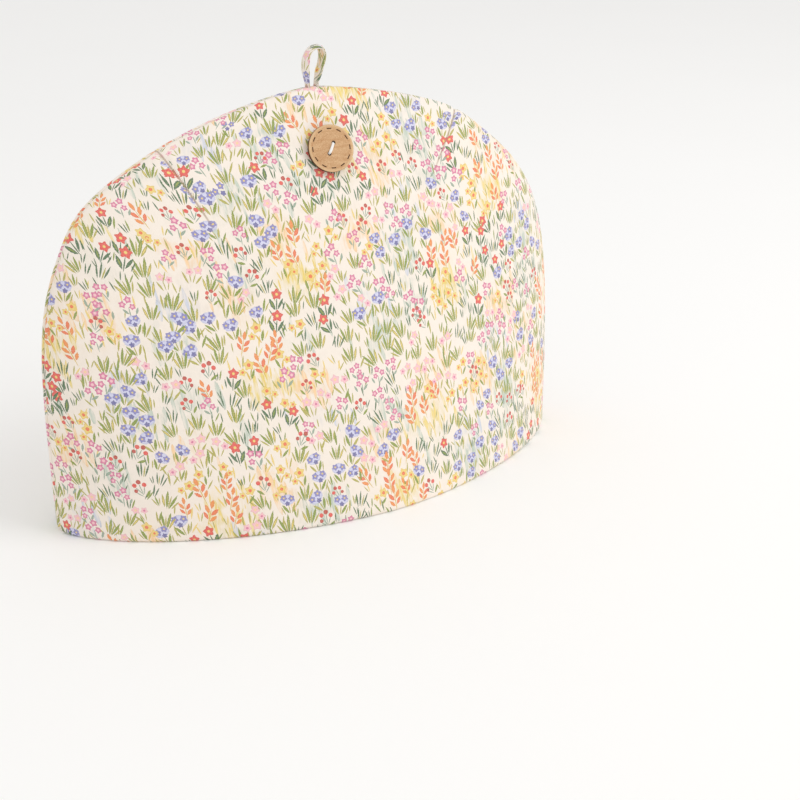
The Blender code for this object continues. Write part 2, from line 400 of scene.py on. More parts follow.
# Brush strokes of each small sprig, front to back, in millimetres from the foot of its stem:
# x, y, turn in degrees, length, width, petals (LENS is pointed, OVAL is round), ink.
SPRIGS = {
    "daisy": (
        (0.4, 9.6, 0, 1.6, 1.6, OVAL, "straw"),
        (0.4, 9.6, 90, 6.4, 6.4, 5, "coral red"),
        (-2.2, 4.0, 118, 4.4, 0.8, LENS, "leaf"),
        (-2.3, 4.0, 118, 7.2, 2.2, LENS, "bottle"),
        (2.4, 4.6, 62, 7.0, 1.5, LENS, "bottle"),
        (4.2, 3.4, 74, 5.4, 0.8, LENS, "bottle"),
        (0.2, 3.8, 88, 8.4, 0.7, LENS, "bottle"),
    ),
    "forget_me_not": (
        (-2.3, 8.2, 0, 1.0, 1.0, OVAL, "straw"),
        (-2.3, 8.2, 80, 4.0, 4.0, 5, "periwinkle"),
        (1.9, 9.3, 0, 1.0, 1.0, OVAL, "straw"),
        (1.9, 9.3, 60, 4.0, 4.0, 5, "periwinkle"),
        (0.6, 5.8, 95, 3.0, 3.0, 5, "deep blue"),
        (0.0, 8.0, 10, 8.4, 6.0, OVAL, "lavender"),
        (-2.2, 2.6, 118, 6.0, 1.3, LENS, "olive"),
        (2.2, 3.0, 62, 6.6, 1.5, LENS, "leaf"),
        (3.8, 2.4, 74, 5.2, 0.7, LENS, "olive"),
        (0.2, 2.4, 90, 5.4, 0.6, LENS, "olive"),
    ),
    "blossom": (
        (-2.4, 7.4, 0, 1.5, 1.5, OVAL, "pale pink"),
        (-2.4, 7.4, 70, 4.0, 4.0, 5, "rose"),
        (1.2, 9.4, 0, 1.6, 1.6, OVAL, "pale pink"),
        (1.2, 9.4, 95, 4.2, 4.2, 5, "rose"),
        (2.4, 5.4, 0, 1.4, 1.4, OVAL, "pale pink"),
        (2.4, 5.4, 110, 3.6, 3.6, 5, "rose"),
        (-1.7, 3.4, 130, 4.2, 1.3, LENS, "sage"),
        (0.2, 2.6, 86, 6.2, 0.6, LENS, "sage"),
        (4.2, 2.8, 60, 4.0, 1.2, LENS, "sage"),
    ),
    "bud_spray": (
        (0.0, 12.4, 90, 4.8, 2.0, LENS, "orange"),
        (-1.9, 9.4, 125, 4.8, 1.9, LENS, "orange"),
        (1.9, 8.6, 55, 4.8, 2.0, LENS, "coral"),
        (-1.9, 6.0, 130, 4.4, 1.7, LENS, "coral"),
        (1.9, 5.2, 52, 4.4, 1.8, LENS, "orange"),
        (0.0, 5.4, 90, 10.5, 0.5, LENS, "mustard"),
    ),
    "berries": (
        (-2.6, 7.0, 0, 2.2, 2.2, OVAL, "coral red"),
        (-0.6, 9.2, 0, 2.3, 2.3, OVAL, "brick"),
        (2.0, 8.2, 0, 2.2, 2.2, OVAL, "coral red"),
        (2.6, 5.4, 0, 1.9, 1.9, OVAL, "brick"),
        (-1.4, 4.6, 120, 5.0, 0.5, LENS, "sage"),
        (-0.2, 5.6, 95, 6.4, 0.5, LENS, "sage"),
        (1.1, 5.2, 68, 6.0, 0.5, LENS, "sage"),
        (1.6, 3.2, 50, 4.6, 0.5, LENS, "sage"),
        (-2.4, 2.2, 140, 4.6, 1.3, LENS, "leaf"),
    ),
    "pale_posy": (
        (-1.6, 8.0, 0, 1.5, 1.5, OVAL, "peach"),
        (-1.6, 8.0, 75, 5.2, 5.2, 5, "pale pink"),
        (2.8, 5.6, 0, 1.3, 1.3, OVAL, "rose"),
        (2.8, 5.6, 100, 4.4, 4.4, 5, "pale pink"),
        (-0.6, 2.8, 92, 6.0, 0.6, LENS, "olive"),
        (1.6, 2.4, 66, 5.4, 0.6, LENS, "olive"),
        (-3.2, 3.0, 112, 6.4, 1.1, LENS, "olive"),
    ),
    "straw_star": (
        (0.6, 7.6, 0, 1.9, 1.9, OVAL, "coral"),
        (0.6, 7.6, 88, 6.0, 6.0, 5, "straw"),
        (-3.2, 4.4, 0, 1.3, 1.3, OVAL, "coral"),
        (-3.2, 4.4, 70, 4.2, 4.2, 5, "straw"),
        (1.8, 2.8, 64, 5.6, 1.3, LENS, "leaf"),
        (-0.6, 2.2, 104, 5.0, 0.9, LENS, "mustard"),
    ),
    "tuft": (
        (-2.6, 4.4, 112, 4.2, 0.5, LENS, "straw"),
        (-2.6, 4.4, 112, 7.6, 1.3, LENS, "olive"),
        (-0.8, 5.6, 98, 6.0, 0.5, LENS, "olive"),
        (-0.8, 5.6, 98, 10.2, 1.6, LENS, "leaf"),
        (0.8, 4.4, 86, 8.0, 0.8, LENS, "olive"),
        (2.4, 5.0, 72, 9.2, 1.4, LENS, "leaf"),
        (3.8, 3.6, 60, 6.2, 0.9, LENS, "olive"),
    ),
    "reeds": (
        (-2.2, 4.2, 104, 7.4, 0.8, LENS, "bottle"),
        (-0.5, 5.2, 92, 8.6, 0.9, LENS, "bottle"),
        (1.0, 4.0, 82, 6.6, 0.7, LENS, "olive"),
        (2.4, 4.8, 74, 7.4, 0.9, LENS, "bottle"),
    ),
    "blades": (
        (-1.2, 3.0, 106, 6.4, 0.9, LENS, "olive"),
        (0.4, 3.4, 86, 6.8, 1.1, LENS, "leaf"),
        (1.8, 2.6, 70, 5.0, 0.7, LENS, "olive"),
    ),
    "dark_blades": (
        (-1.0, 3.0, 100, 5.6, 0.7, LENS, "bottle"),
        (0.4, 2.6, 84, 4.8, 0.6, LENS, "bottle"),
        (1.9, 3.2, 74, 5.8, 0.8, LENS, "leaf"),
    ),
    "pale_blades": (
        (-1.0, 3.0, 102, 5.8, 0.8, LENS, "straw"),
        (0.8, 3.0, 80, 5.6, 0.7, LENS, "olive"),
    ),
}

# Colour stories of the print's drifts: the sprigs that mostly grow there, the blades between
# them, and the thin ink behind them with its strength.
DRIFTS = (
    (("daisy", "reeds", "daisy", "tuft"), "dark_blades", "thin sage", 0.30),
    (("forget_me_not", "tuft", "forget_me_not"), "blades", "thin sage", 0.95),
    (("bud_spray", "straw_star", "bud_spray"), "pale_blades", "thin mustard", 0.95),
    (("blossom", "pale_posy", "tuft"), "blades", "thin blue", 0.45),
    (("pale_posy", "tuft", "forget_me_not"), "blades", "thin peach", 0.55),
    (("berries", "straw_star", "blossom"), "pale_blades", "thin peach", 0.95),
    (("blossom", "reeds", "berries"), "dark_blades", "thin sage", 0.60),
)
# Spacings and sizes in millimetres of the flat cloth.
DRIFT_PITCH = 34.0
SPRIG_PITCH, SPRIG_TOSS = 10.2, 2.2
BLADE_PITCH, BLADE_TOSS = 7.0, 2.0
DASH_PITCH = 4.2
DRAGS = 13
STRAY_SHARE = 0.10
SEARCH_CELL = 4.0
LAYER_ROOM = (SLOTS, 3, 1, SLOTS)
FAR_AWAY = -1e4


def drift_map(wide, tall, rng):
    """Middles of the drifts on a jittered half-drop lattice, each with its colour story."""
    columns = np.arange(-wide - DRIFT_PITCH, wide + DRIFT_PITCH, DRIFT_PITCH)
    rows = np.arange(-DRIFT_PITCH, tall + DRIFT_PITCH, 0.8 * DRIFT_PITCH)
    across, up = np.meshgrid(columns, rows)
    up = up + 0.4 * DRIFT_PITCH * (np.arange(across.shape[1]) % 2)
    middles = np.stack([across.ravel(), up.ravel()], axis=-1)
    middles = middles + rng.uniform(-0.28, 0.28, middles.shape) * DRIFT_PITCH
    number = np.arange(across.shape[1])[None, :] * 3 + np.arange(across.shape[0])[:, None] * 2
    return middles, number.ravel() % len(DRIFTS)


def sprig_strokes(kind, place, turn, size, flip):
    """The strokes of one sprig, turned, scaled and put in its place, one row each."""
    table = SPRIGS[kind]
    numbers = np.array([row[:6] for row in table], float)
    numbers[:, 0] *= flip
    numbers[:, 2] = np.radians(np.where(flip < 0, 180 - numbers[:, 2], numbers[:, 2])) + turn
    cosine, sine = math.cos(turn), math.sin(turn)
    x, y = numbers[:, 0] * size, numbers[:, 1] * size
    ink = np.array([INK_NUMBER[row[6]] for row in table], float)
    return np.stack(
        [
            place[0] + x * cosine - y * sine,
            place[1] + x * sine + y * cosine,
            numbers[:, 2],
            numbers[:, 3] * size / 2,
            numbers[:, 4] * size / 2,
            numbers[:, 5],
            ink,
        ],
        axis=-1,
    )


def tossed(wide, tall, pitch, jitter, rng):
    """Places on a half-drop lattice over 2 x wide by tall millimetres, each moved a little."""
    places = []
    for number, across in enumerate(np.arange(-wide, wide + pitch, pitch)):
        for up in np.arange(-12 + pitch / 2 * (number % 2), tall + 6, pitch):
            places.append(np.array([across, up]) + rng.uniform(-jitter, jitter, 2))
    return places


def draw_print(wide, tall, seed):
    """The strokes of a length of cloth, in the layers sprigs, blades, dashes and drags.

    Sprigs and tufts of blades are tossed on half-drop lattices and follow the colour story of
    the nearest drift; dashes fill the gaps; drags are long dry strokes of thin ink.
    """
    rng = np.random.default_rng(seed)
    middles, stories = drift_map(wide, tall, rng)
    sprigs, blades, drags = [], [], []
    for place in tossed(wide, tall, SPRIG_PITCH, SPRIG_TOSS, rng):
        nearest = np.argmin(np.hypot(*(middles - place).T))
        kinds = DRIFTS[stories[nearest]][0]
        kind = kinds[rng.integers(len(kinds))]
        if rng.random() < STRAY_SHARE:
            kind = list(SPRIGS)[rng.integers(len(SPRIGS))]
        turn = math.radians(rng.uniform(-30, 30))
        size, flip = rng.uniform(0.86, 1.08), rng.choice([-1, 1])
        sprigs.append(sprig_strokes(kind, place, turn, size, flip))
    for place in tossed(wide, tall, BLADE_PITCH, BLADE_TOSS, rng):
        nearest = np.argmin(np.hypot(*(middles - place).T))
        kind = DRIFTS[stories[nearest]][1]
        turn = math.radians(rng.uniform(-26, 26))
        size, flip = rng.uniform(0.8, 1.25), rng.choice([-1, 1])
        blades.append(sprig_strokes(kind, place, turn, size, flip))
    count = int(2 * wide * tall / DASH_PITCH**2)
    dashes = np.zeros((count, 7))
    dashes[:, 0] = rng.uniform(-wide, wide, count)
    dashes[:, 1] = rng.uniform(-2, tall, count)
    dashes[:, 2] = math.pi / 2 + rng.uniform(-0.6, 0.6, count)
    dashes[:, 3] = rng.uniform(1.3, 2.8, count)
    dashes[:, 4] = rng.uniform(0.25, 0.45, count)
    dashes[:, 5] = LENS
    dash_inks = [INK_NUMBER[name] for name in ("olive", "leaf", "olive", "straw", "sage")]
    dashes[:, 6] = rng.choice(dash_inks, count)
    for middle_at, story in zip(middles, stories):
        thin, strength = DRIFTS[story][2:]
        count = int(DRAGS * strength)
        rows = np.zeros((count, 7))
        rows[:, :2] = middle_at + rng.normal(0, (0.23, 0.20), (count, 2)) * DRIFT_PITCH
        rows[:, 2] = math.radians(98) + rng.uniform(-0.14, 0.14, count)
        rows[:, 3] = rng.uniform(4.0, 8.0, count)
        rows[:, 4] = rng.uniform(0.7, 1.5, count)
        rows[:, 5] = OVAL
        rows[:, 6] = INK_NUMBER[thin]
        drags.append(rows)
    layers = [np.concatenate(sprigs), np.concatenate(blades), dashes, np.concatenate(drags)]
    return layers, middles, stories


def lay_strokes(centres, reach, strokes, slots, taken, room):
    """Gives every face the strokes that touch it, in up to SLOTS slots.

    A stroke touches a face if the face's middle is nearer to the stroke's line than half its
    width and the face's reach. It is left out whole where a face has no room for it.
    """
    low = centres.min(axis=0) - SEARCH_CELL
    index = np.floor((centres - low) / SEARCH_CELL).astype(int)
    columns = index[:, 0].max() + 2
    key = index[:, 1] * columns + index[:, 0]
    order = np.argsort(key, kind="stable")
    starts = np.searchsorted(key[order], np.arange(columns * (index[:, 1].max() + 2) + 1))
    for stroke in strokes:
        middle_at, half, wide = stroke[:2], stroke[3], stroke[4]
        along = np.array([math.cos(stroke[2]), math.sin(stroke[2])])
        span = np.abs(along) * half + wide + 1.2
        first = np.floor((middle_at - span - low) / SEARCH_CELL).astype(int)
        first = np.maximum(first, 0)
        last = np.floor((middle_at + span - low) / SEARCH_CELL).astype(int)
        last = np.minimum(last, [columns - 2, index[:, 1].max()])
        if (last < first).any():
            continue
        rows = [
            order[starts[row * columns + first[0]] : starts[row * columns + last[0] + 1]]
            for row in range(first[1], last[1] + 1)
        ]
        near = np.concatenate(rows)
        offset = centres[near] - middle_at
        run = np.clip(offset @ along, -max(half - wide, 0), max(half - wide, 0))
        distance = np.linalg.norm(offset - run[:, None] * along, axis=1)
        hit = near[distance < wide + reach[near]]
        if not len(hit) or taken[hit].max() >= room:
            continue
        over = np.array([-along[1], along[0]])
        slots["centre"][taken[hit], hit, :2] = middle_at
        slots["along"][taken[hit], hit, :2] = along / half
        slots["over"][taken[hit], hit, :2] = over / wide
        slots["look"][taken[hit], hit] = [max(stroke[5], 0), 1 + (stroke[5] >= 0), stroke[6]]
        taken[hit] += 1


def print_cloth(piece, faces, flat, wide, tall, seed):
    """Lays a print on the first faces of a piece and stores it as attributes of its mesh."""
    corners = flat[faces]
    centres = corners.mean(axis=1)
    reach = np.minimum(np.linalg.norm(corners - centres[:, None], axis=-1).max(axis=1), 1.4)
    layers, middles, stories = draw_print(wide, tall, seed)
    count = len(faces)
    slots = {name: np.zeros((SLOTS, count, 3)) for name in ("centre", "along", "over", "look")}
    slots["centre"][...] = FAR_AWAY
    slots["along"][..., 0] = 1.0
    slots["over"][..., 1] = 1.0
    taken = np.zeros(count, int)
    for strokes, room in zip(layers, LAYER_ROOM):
        lay_strokes(centres, reach, strokes, slots, taken, room)
    everything = len(piece.data.polygons)
    for name, values in slots.items():
        for slot in range(SLOTS):
            padded = np.zeros((everything, 3), np.float32)
            padded[:count] = values[slot]
            layer = piece.data.attributes.new(f"{name}_{slot}", "FLOAT_VECTOR", "FACE")
            layer.data.foreach_set("vector", padded.ravel())
    wash = np.zeros((len(flat), 4), np.float32)
    weight = np.full(len(flat), 1e-6)
    for at, story in zip(middles, stories):
        nearness = np.exp(-(((flat - at) ** 2).sum(axis=1)) / (0.40 * DRIFT_PITCH) ** 2)
        colour = np.array(linear(INKS[DRIFTS[story][2]]))
        wash[:, :3] += nearness[:, None] * colour[:3]
        wash[:, 3] += nearness**1.5 * DRIFTS[story][3]
        weight += nearness
    wash[:, :3] /= weight[:, None]
    layer = piece.data.attributes.new("wash", "FLOAT_COLOR", "POINT")
    layer.data.foreach_set("color", np.clip(wash, 0, 1).ravel())


def cotton_material(name, printed, darts=False):
    """Plain-weave quilting cotton, matt, with pigment print: no gloss, a faint fibre sheen at
    grazing angles, and ink that pools a little at the edge of each stroke."""
    material, shader, tree = new_material(name)
    cloth = add(tree, "UVMap", uv_map="flat_cut")
    place = add(tree, "TexCoord")
    mottle = add(
        tree, "TexNoise", {"Vector": place.outputs["Object"], "Scale": 260.0, "Detail": 3.0}
    )
    bare = add(tree, "RGB")
    bare.outputs[0].default_value = linear(COTTON)
    colour = bare.outputs[0]
    if printed:
        # Thin washes of ink, dragged upwards so that they are streaky.
        wash = add(tree, "Attribute", attribute_name="wash")
        lean = add(
            tree,
            "Mapping",
            {"Vector": cloth, "Rotation": (0, 0, math.radians(-14)), "Scale": (0.75, 0.11, 1)},
        )
        streak = add(tree, "TexNoise", {"Vector": lean, "Scale": 1.0, "Detail": 3.0})
        drag = add(
            tree,
            "MapRange",
            {"Value": streak, "From Min": 0.40, "From Max": 0.60, "To Min": 0.25, "To Max": 1.0},
        )
        blot = add(tree, "TexNoise", {"Vector": cloth, "Scale": 0.085, "Detail": 2.0})
        patch = add(tree, "MapRange", {"Value": blot, "From Min": 0.44, "From Max": 0.58})
        thin = add(tree, "Math", {0: drag, 1: patch}, operation="MULTIPLY")
        strength = add(tree, "Math", {0: thin, 1: wash.outputs["Alpha"]}, operation="MULTIPLY")
        washed = add(
            tree,
            "Mix",
            {0: strength, 6: colour, 7: wash.outputs["Color"]},
            data_type="RGBA",
        )
        # Each slot holds one stroke. s runs along it and t across it, both 1 at its edge; the
        # stroke is where s^2 + |t|^p is under 1, less a notch between petals.
        rough = add(tree, "TexNoise", {"Vector": cloth, "Scale": 1.6, "Detail": 2.0})
        edge = add(tree, "MapRange", {"Value": rough, "To Min": -0.42, "To Max": 0.42})
        ink, depth = -1.0, 0.0
        for slot in reversed(range(SLOTS)):
            centre, along, over, look = [
                add(tree, "Attribute", attribute_name=f"{part}_{slot}").outputs["Vector"]
                for part in ("centre", "along", "over", "look")
            ]
            offset = add(tree, "VectorMath", {0: cloth, 1: centre}, operation="SUBTRACT")
            s = add(
                tree, "VectorMath", {0: offset, 1: along}, operation="DOT_PRODUCT"
            ).outputs["Value"]
            t = add(
                tree, "VectorMath", {0: offset, 1: over}, operation="DOT_PRODUCT"
            ).outputs["Value"]
            looks = add(tree, "SeparateXYZ", {0: look})
            angle = add(tree, "Math", {0: t, 1: s}, operation="ARCTAN2")
            petal = add(tree, "Math", {0: angle, 1: looks.outputs["X"]}, operation="MULTIPLY")
            wave = add(tree, "Math", {0: petal}, operation="COSINE")
            notch = add(tree, "Math", {0: wave, 1: -0.55, 2: 1.55}, operation="MULTIPLY_ADD")
            across = add(tree, "Math", {0: t}, operation="ABSOLUTE")
            belly = add(tree, "Math", {0: across, 1: looks.outputs["Y"]}, operation="POWER")
            round_ = add(tree, "Math", {0: s, 1: s, 2: belly}, operation="MULTIPLY_ADD")
            full = add(tree, "Math", {0: round_, 1: notch}, operation="MULTIPLY")
            inner = add(tree, "Math", {0: 1.0, 1: full}, operation="SUBTRACT")
            worn = add(tree, "Math", {0: inner, 1: edge}, operation="ADD")
            inside = add(tree, "Math", {0: worn, 1: 0.0}, operation="GREATER_THAN")
            ink = add(tree, "Mix", {0: inside, 2: ink, 3: looks.outputs["Z"]})
            depth = add(tree, "Mix", {0: inside, 2: depth, 3: worn})
        lookup = add(
            tree,
            "Math",
            {0: ink, 1: 1 / len(INKS), 2: 0.5 / len(INKS)},
            operation="MULTIPLY_ADD",
        )
        inks = add(tree, "ValToRGB", {0: lookup})
        inks.color_ramp.interpolation = "CONSTANT"
        for number, value in enumerate(INKS.values()):
            ramp = inks.color_ramp.elements
            stop = ramp[number] if number < 2 else ramp.new(number / len(INKS))
            stop.position = number / len(INKS)
            stop.color = linear(value)
        pooled = add(
            tree,
            "MapRange",
            {"Value": depth, "From Max": 0.55, "To Min": 0.86, "To Max": 1.04},
        )
        toned = add(
            tree,
            "VectorMath",
            {0: inks.outputs["Color"], "Scale": pooled},
            operation="SCALE",
        )
        shown = add(tree, "Math", {0: ink, 1: -0.5}, operation="GREATER_THAN")
        cover = add(
            tree,
            "MapRange",
            {"Value": rough, "From Min": 0.3, "From Max": 0.7, "To Min": 0.78, "To Max": 1.0},
        )
        thin = add(tree, "Math", {0: ink, 1: FIRST_THIN - 0.5}, operation="GREATER_THAN")
        dry = add(
            tree,
            "MapRange",
            {"Value": streak, "From Min": 0.40, "From Max": 0.60, "To Min": 0.25, "To Max": 0.9},
        )
        cover = add(tree, "Mix", {0: thin, 2: cover, 3: dry})
        laid = add(tree, "Math", {0: shown, 1: cover}, operation="MULTIPLY")
        inked = add(tree, "Mix", {0: laid, 6: washed.outputs[2], 7: toned}, data_type="RGBA")
        colour = inked.outputs[2]
    if darts:
        # A brown line along each dart, partly its sewing line and partly painted shade in the
        # crease where the two edges meet; it fades out towards the dart's tip.
        dart = add(tree, "Attribute", attribute_name="dart")
        parts = add(tree, "SeparateXYZ", {0: dart.outputs["Vector"]})
        gap = add(tree, "Math", {0: parts.outputs["X"]}, operation="ABSOLUTE")
        line = add(
            tree,
            "MapRange",
            {"Value": gap, "From Min": 0.25, "From Max": 0.75, "To Min": 1.0, "To Max": 0.0},
        )
        kept = add(
            tree,
            "MapRange",
            {
                "Value": parts.outputs["Y"],
                "From Min": 0.75,
                "From Max": 1.0,
                "To Min": 0.62,
                "To Max": 0.0,
            },
        )
        crease_shade = add(tree, "Math", {0: line, 1: kept}, operation="MULTIPLY")
        crease_shaded = add(tree, "Mix", {0: crease_shade, 6: colour, 7: linear(DART_CREASE_SHADE)}, data_type="RGBA")
        colour = crease_shaded.outputs[2]
    dull = add(tree, "MapRange", {"Value": mottle, "To Min": 0.965, "To Max": 1.02})
    final = add(tree, "VectorMath", {0: colour, "Scale": dull}, operation="SCALE")
    tree.links.new(final.outputs[0], shader.inputs["Base Color"])
    # Warp and weft about 0.45 mm apart, drawn at 0.9 mm so that they show.
    pitch = 2 * math.pi / 0.9
    grain = add(tree, "SeparateXYZ", {0: cloth})
    warp = add(tree, "Math", {0: grain.outputs["X"], 1: pitch}, operation="MULTIPLY")
    weft = add(tree, "Math", {0: grain.outputs["Y"], 1: pitch}, operation="MULTIPLY")
    warp = add(tree, "Math", {0: warp}, operation="SINE")
    weft = add(tree, "Math", {0: weft}, operation="SINE")
    weave = add(tree, "Math", {0: warp, 1: weft}, operation="MULTIPLY")
    height = add(tree, "Math", {0: weave, 1: 0.5, 2: mottle}, operation="MULTIPLY_ADD")
    bump = add(tree, "Bump", {"Height": height, "Strength": 0.35, "Distance": 0.00012})
    tree.links.new(bump.outputs[0], shader.inputs["Normal"])
    shader.inputs["Roughness"].default_value = 0.88
    shader.inputs["Specular IOR Level"].default_value = 0.25
    shader.inputs["Sheen Weight"].default_value = 0.12
    shader.inputs["Sheen Roughness"].default_value = 0.5
    return material


printed_cotton = cotton_material("printed_quilting_cotton", printed=True, darts=True)
plain_cotton = cotton_material("plain_cotton_inside", printed=False)
button_low, button_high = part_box("button")
button_middle = (button_low + button_high) / 2
# The cloth that the print is drawn on, in millimetres, a little larger than the cut.
CLOTH_HALF_WIDTH, CLOTH_HEIGHT = 205.0, 256.0
PANELS = (
    {"node": "front_panel", "side": -1, "seed": 11, "button": (button_middle.x, button_middle.z)},
    {"node": "back_panel", "side": 1, "seed": 29, "button": None},
)
for row in PANELS:
    base, outer, inner = panel_grids(row["button"])
    flat = flat_cut(base)
    piece, outside, all_flat = panel_mesh(row["node"] + "_cloth", row["side"], outer, inner, flat)
    piece.data.materials.append(printed_cotton)
    piece.data.materials.append(plain_cotton)
    print_cloth(piece, outside, all_flat, CLOTH_HALF_WIDTH, CLOTH_HEIGHT, row["seed"])
    surface = base if row["side"] < 0 else base[:, ::-1]
    dart_values = np.zeros((len(piece.data.vertices), 3), np.float32)
    dart_values[:, 0] = 99.0
    seen = dart_values[: surface[..., 0].size]
    for dart in DARTS:
        away, along = dart_place(surface[..., 0].ravel(), surface[..., 2].ravel(), dart)
        mine = (np.abs(away) < 0.02) & (along < 1.2)
        seen[mine, 0] = 1000 * away[mine]
        seen[mine, 1] = along[mine]
    layer = piece.data.attributes.new("dart", "FLOAT_VECTOR", "POINT")
    layer.data.foreach_set("vector", dart_values.ravel())
    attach(piece, "root")
    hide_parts(row["node"])


# --- Hanging loop ------------------------------------------------------------
# A narrow strip of the same printed cotton, its edges folded in and sewn shut along one side,
# bent double and caught by its two ends in the seam at the top of the dome.
LOOP_RISE, LOOP_LEAN = 0.0200, 0.0030
LOOP_FOOT, LOOP_SPREAD = 0.0026, 0.0056
LOOP_WIDTH, LOOP_FOOT_WIDTH = 0.0072, 0.0044
LOOP_THICK = 0.0015
LOOP_SINK = 0.0003
LOOP_GROOVE = 0.0005
LOOP_CUP = 0.00035
LOOP_RIPPLE = 0.00012
LOOP_STEPS, LOOP_AROUND = 150, 36


def close_up(piece):
    """Merges the points that lie on each other and turns every face outwards."""
    mesh = bmesh.new()
    mesh.from_mesh(piece.data)
    bmesh.ops.remove_doubles(mesh, verts=mesh.verts, dist=1e-7)
    bmesh.ops.recalc_face_normals(mesh, faces=mesh.faces)
    mesh.to_mesh(piece.data)
    mesh.free()
    piece.data.shade_smooth()


def roof_height(y):
    """Height of the cosy's top at a distance y from the seam plane, near x = 0."""
    return HEIGHT * (1 - (np.abs(y) / HALF_DEPTH) ** CROWN_OVER) ** (1 / CROWN_UP)


def loop_line(share):
    """Middle line (x, z) of the loop: narrow feet, widest above the middle, round top.

    share runs from -1 at the left foot, through 0 at the top, to 1 at the right foot.
    """
    rise = np.cos(share * math.pi / 2) ** 0.9
    half = (LOOP_FOOT + LOOP_SPREAD * rise) * np.sqrt(np.clip(1 - rise**3, 0, 1))
    x = np.sign(share) * half + LOOP_LEAN * rise**1.5
    return x, HEIGHT + (LOOP_RISE - LOOP_THICK / 2) * rise


def loop_skin(share, turn):
    """The strip's skin: at each place along the line, an oval with flat sides,
    (w, t) = (W sgn(cos a) |cos a|^0.7, T sgn(sin a) |sin a|^0.7), w along y and t across the
    line, grooved at its front edge where the folded edges meet, and cupped a little."""
    x, z = loop_line(share)
    dx, dz = np.gradient(x, axis=0), np.gradient(z, axis=0)
    length = np.hypot(dx, dz)
    widen = np.clip((z - HEIGHT) / (0.35 * LOOP_RISE), 0, 1)
    widen = widen * widen * (3 - 2 * widen)
    half = (LOOP_FOOT_WIDTH + (LOOP_WIDTH - LOOP_FOOT_WIDTH) * widen) / 2
    cosine, sine = np.cos(turn), np.sin(turn)
    groove = LOOP_GROOVE * np.exp(-((sine / 0.10) ** 2)) * (cosine < 0)
    w = (half - groove) * np.sign(cosine) * np.abs(cosine) ** 0.7
    t = LOOP_THICK / 2 * np.sign(sine) * np.abs(sine) ** 0.7
    t = t + LOOP_CUP * np.cos(math.pi * w / half) * widen
    t = t + LOOP_RIPPLE * np.sin(9 * share + 2 * w / half) * widen
    px, pz = x - dz / length * t, z + dx / length * t
    foot = np.abs(share) == 1
    pz = np.where(foot, roof_height(w) - LOOP_SINK, pz)
    return np.stack([px, w, pz], axis=-1)


share, turn = np.meshgrid(
    np.linspace(-1, 1, LOOP_STEPS + 1),
    np.linspace(0, 2 * math.pi, LOOP_AROUND + 1),
    indexing="ij",
)
skin_points = loop_skin(share, turn)
around = np.linalg.norm(np.diff(skin_points, axis=1), axis=-1)
around = np.concatenate([np.zeros((LOOP_STEPS + 1, 1)), np.cumsum(around, axis=1)], axis=1)
middle_line = skin_points[:, :-1].mean(axis=1)
run = np.linalg.norm(np.diff(middle_line, axis=0), axis=-1)
run = np.concatenate([[0.0], np.cumsum(run)])
flat = 1000 * np.stack([around, np.broadcast_to(run[:, None], around.shape)], axis=-1)
flat = flat.reshape(-1, 2)
skin_faces = grid_faces(LOOP_STEPS + 1, LOOP_AROUND + 1)
first_ring = np.arange(LOOP_AROUND)
last_ring = first_ring + LOOP_STEPS * (LOOP_AROUND + 1)
faces = skin_faces.tolist() + [first_ring.tolist(), last_ring.tolist()]
loop = new_object("hanging_loop_cloth", skin_points.reshape(-1, 3), faces)
corner_point = np.zeros(len(loop.data.loops), np.int32)
loop.data.loops.foreach_get("vertex_index", corner_point)
layer = loop.data.uv_layers.new(name="flat_cut")
layer.uv.foreach_set("vector", flat[corner_point].astype(np.float32).ravel())
print_cloth(loop, skin_faces, flat, 14.0, 52.0, 5)
close_up(loop)
loop.data.materials.append(cotton_material("printed_cotton_strip", printed=True))
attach(loop, "root")
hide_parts("hanging_loop")


# --- Button ------------------------------------------------------------------
# A 25 mm two-hole button, cut by laser from light wood 2.5 mm thick and sanded. The cut side,
# the two holes and the ring of twelve engraved dashes are scorched dark brown.
BUTTON_RADIUS, BUTTON_THICK = 0.0125, 0.0025
BUTTON_EDGE = 0.0007
BUTTON_TURN, BUTTON_TILT = math.radians(-11), math.radians(20)
HOLE_RADIUS, HOLE_SPACING = 0.0011, 0.0062
HOLE_LINE = math.radians(61)
DASH_RING, DASHES = 0.01035, 12
DASH_FIRST = math.radians(89.4)
DASH_LENGTH, DASH_WIDTH, DASH_DEPTH = 0.0027, 0.00062, 0.00035
DASH_SOFT = 0.0001
BUTTON_COLUMNS = 480
BUTTON_MIDDLE_RING = 0.0005
FACE_RADIUS = BUTTON_RADIUS - BUTTON_EDGE
RIM_ARC = BUTTON_EDGE * math.pi / 2
SIDE_HEIGHT = BUTTON_THICK - 2 * BUTTON_EDGE
# The last wood colour is a painted highlight for the outer edge of the button's face.
WOOD_DARK, WOOD_LIGHT, WOOD_RIM_HIGHLIGHT = "#b8875a", "#dcb78c", "#e6c69a"
SCORCHED = "#4a2a12"

facing = Vector(
    (
        math.sin(BUTTON_TURN) * math.cos(BUTTON_TILT),
        -math.cos(BUTTON_TURN) * math.cos(BUTTON_TILT),
        math.sin(BUTTON_TILT),
    )
)
button_right = Vector((0, 0, 1)).cross(facing).normalized()
button_turn = Matrix((button_right, facing.cross(button_right), facing)).transposed().to_4x4()
button_place = Matrix.Translation(button_middle) @ button_turn


def smooth_step(value, start, end):
    """0 before start, 1 after end, and a smooth rise between them."""
    share = np.clip((value - start) / (end - start), 0, 1)
    return share * share * (3 - 2 * share)


